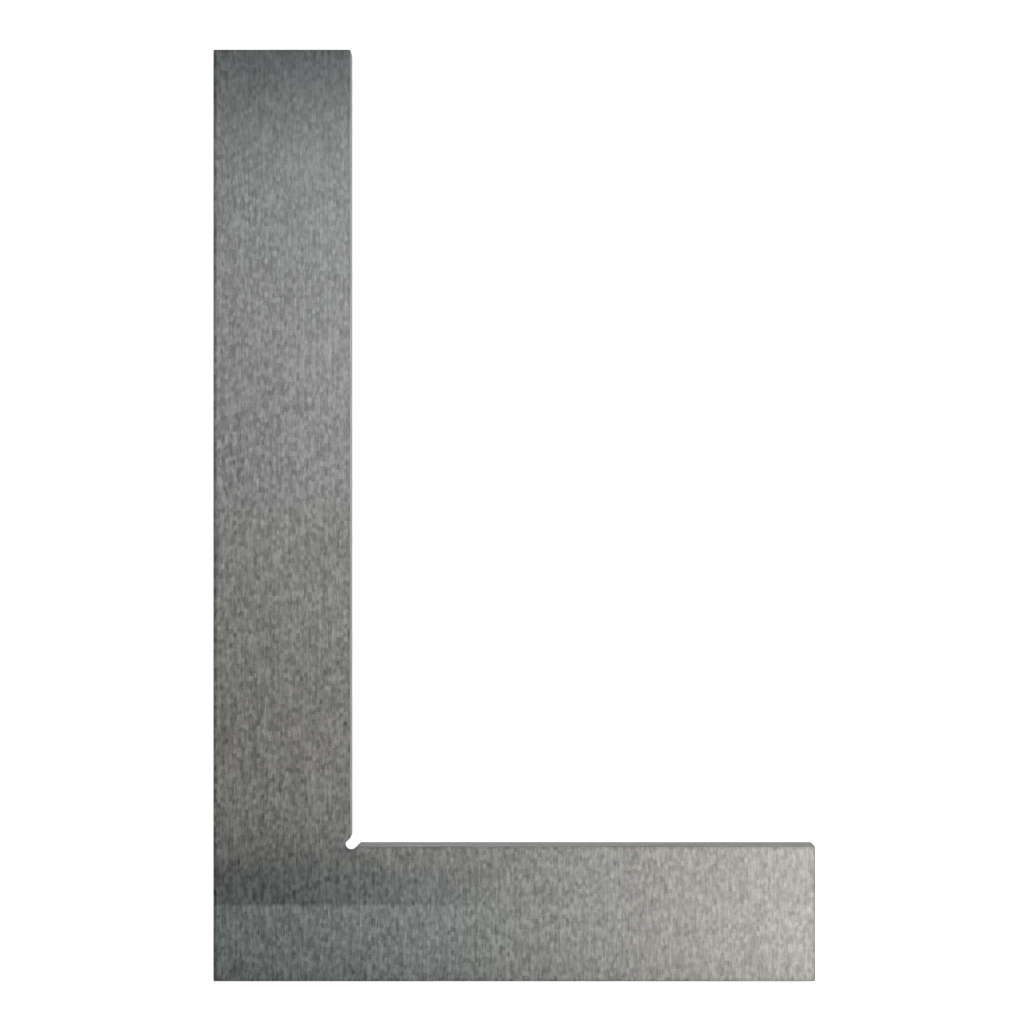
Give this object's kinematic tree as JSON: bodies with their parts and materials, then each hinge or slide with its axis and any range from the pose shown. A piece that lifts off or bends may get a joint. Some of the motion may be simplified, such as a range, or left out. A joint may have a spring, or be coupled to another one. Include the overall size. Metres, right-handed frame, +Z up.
{
  "type": "steel square ruler",
  "caption": "Flat L-shaped steel square with a long and a short leg of plain ground bar, square outer and inner edges, and a small relief slot in the inside corner.",
  "frame": {"origin": "the heel: the corner where the planes of the two outer edges meet the lower face", "axes": "+Y along the long leg from the heel to its free end, +X along the short leg, +Z up through the thickness, from the face that it rests on to the upper face"},
  "size_m": [0.1292, 0.2, 0.006],
  "materials": {
    "ground_steel": "fine surface-ground grain along the long leg, unpolished, light oil film"
  },
  "bodies": {
    "root": {"steel_square": "ground_steel"}
  },
  "joints": []
}
